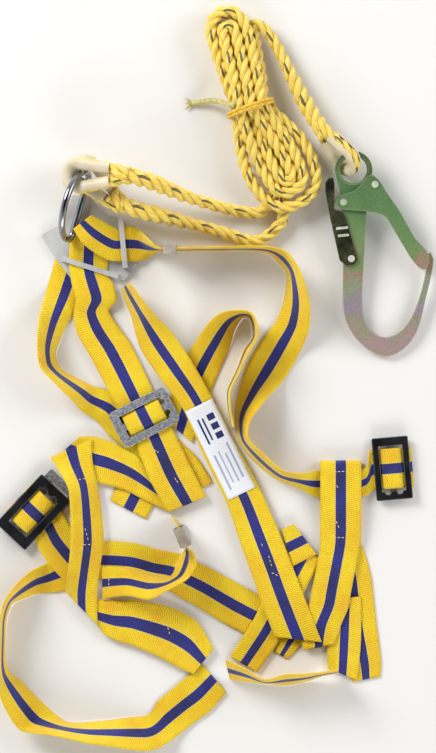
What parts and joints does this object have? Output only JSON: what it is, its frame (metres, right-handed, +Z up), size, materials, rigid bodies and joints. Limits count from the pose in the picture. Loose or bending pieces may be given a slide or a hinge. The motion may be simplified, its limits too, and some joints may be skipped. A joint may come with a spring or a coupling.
{
  "type": "safety harness",
  "caption": "Full body fall-arrest harness of striped webbing with slide-bar buckles, a back D-ring, and a coiled rope lanyard ending in a large scaffold hook, laid out on a floor",
  "frame": {"origin": "middle of the laid-out harness on the floor plane", "axes": "+Z up from the floor, +Y along the harness's length from the leg straps to the shoulders, +X across it"},
  "size_m": [0.4794, 0.8339, 0.0668],
  "materials": {
    "webbing": "woven polyester webbing with a blue centre stripe",
    "label": "coated sewn-on label",
    "plate_plastic": "translucent white plastic",
    "ring_steel": "bright plated forged steel",
    "rope": "three-strand laid fibre rope with dark tracer",
    "thimble_plastic": "cream plastic",
    "zinc_plate": "dull zinc-plated steel",
    "black_steel": "black coated steel with worn bright edges",
    "bar_steel": "knurled plated steel",
    "keeper_plastic": "clear soft plastic",
    "hook_zinc": "iridescent zinc chromate",
    "lever_zinc": "dark olive zinc chromate",
    "spring_steel": "spring wire"
  },
  "bodies": {
    "harness": {"left_shoulder_strap": "webbing", "centre_strap": "webbing", "right_shoulder_strap": "webbing", "label_strap": "webbing", "chest_loop_strap": "webbing", "waist_strap": "webbing", "left_side_strap": "webbing", "seat_strap": "webbing", "left_buckle_strap": "webbing", "leg_loop_strap": "webbing", "keeper_strap": "webbing", "seat_end_strap": "webbing", "cross_strap": "webbing", "side_loop_strap": "webbing", "right_leg_strap": "webbing", "right_leg_tail": "webbing", "waist_tab": "webbing", "centre_tab": "webbing", "seat_tab": "webbing", "label_patch": "label", "dorsal_plate": "plate_plastic", "upper_rope_eye": "rope", "lower_rope_eye": "rope", "hook_rope_eye": "rope", "upper_lead_rope": "rope", "lower_lead_rope": "rope", "hook_lead_rope": "rope", "rope_hank": "rope", "hank_tie": "rope", "upper_thimble": "thimble_plastic", "lower_thimble": "thimble_plastic", "hook_thimble": "thimble_plastic", "chest_buckle_frame": "zinc_plate", "left_buckle_plate": "zinc_plate", "left_buckle_frame": "black_steel", "right_buckle_frame": "black_steel"},
    "ring": {"d_ring": "ring_steel"},
    "chest_bar": {"chest_buckle_bar": "zinc_plate"},
    "left_bar": {"left_buckle_bar": "bar_steel"},
    "right_bar": {"right_buckle_bar": "bar_steel"},
    "upper_keeper": {"shoulder_keeper": "keeper_plastic"},
    "lower_keeper": {"thigh_keeper": "keeper_plastic"},
    "hook": {"hook_frame": "hook_zinc", "gate_rivet": "hook_zinc", "gate_spring": "spring_steel", "lever_rivet": "hook_zinc", "lever_spring": "spring_steel"},
    "gate": {"hook_gate": "hook_zinc", "gate_stop_rivet": "hook_zinc"},
    "lever": {"lock_lever": "lever_zinc"}
  },
  "joints": [
    {"name": "ring_swing", "type": "hinge", "parent": "harness", "child": "ring", "pos_m": [-0.14778, 0.25602, 0.0114], "axis": [0.2756, 0.9613, 0], "range_deg": [-1, 1]},
    {"name": "chest_bar_slide", "type": "slide", "parent": "harness", "child": "chest_bar", "axis": [0.454, -0.891, 0], "range_m": [-0.0015, 0.0015]},
    {"name": "left_bar_slide", "type": "slide", "parent": "harness", "child": "left_bar", "axis": [0.7314, -0.682, 0], "range_m": [-0.0015, 0.0015]},
    {"name": "right_bar_slide", "type": "slide", "parent": "harness", "child": "right_bar", "axis": [-0.9962, -0.0872, 0], "range_m": [-0.0015, 0.0015]},
    {"name": "shoulder_keeper_slide", "type": "slide", "parent": "harness", "child": "upper_keeper", "axis": [1, 0, 0], "range_m": [-0.003, 0.003]},
    {"name": "thigh_keeper_slide", "type": "slide", "parent": "harness", "child": "lower_keeper", "axis": [0.3746, -0.9272, 0], "range_m": [-0.003, 0.003]},
    {"name": "hook_swing", "type": "hinge", "parent": "harness", "child": "hook", "pos_m": [0.15175, 0.29652, 0.024], "axis": [0, -0.1011, 0.9949], "range_deg": [-8, 8]},
    {"name": "gate_hinge", "type": "hinge", "parent": "hook", "child": "gate", "pos_m": [0.14075, 0.2617, 0.02046], "axis": [0, -0.1011, 0.9949], "range_deg": [-28, 0], "stiffness_Nm_per_rad": 0.15, "springref_deg": 20.05},
    {"name": "lever_hinge", "type": "hinge", "parent": "hook", "child": "lever", "pos_m": [0.14955, 0.20002, 0.0142], "axis": [0, -0.1011, 0.9949], "range_deg": [-6, 0], "stiffness_Nm_per_rad": 0.15, "springref_deg": 17.19}
  ]
}
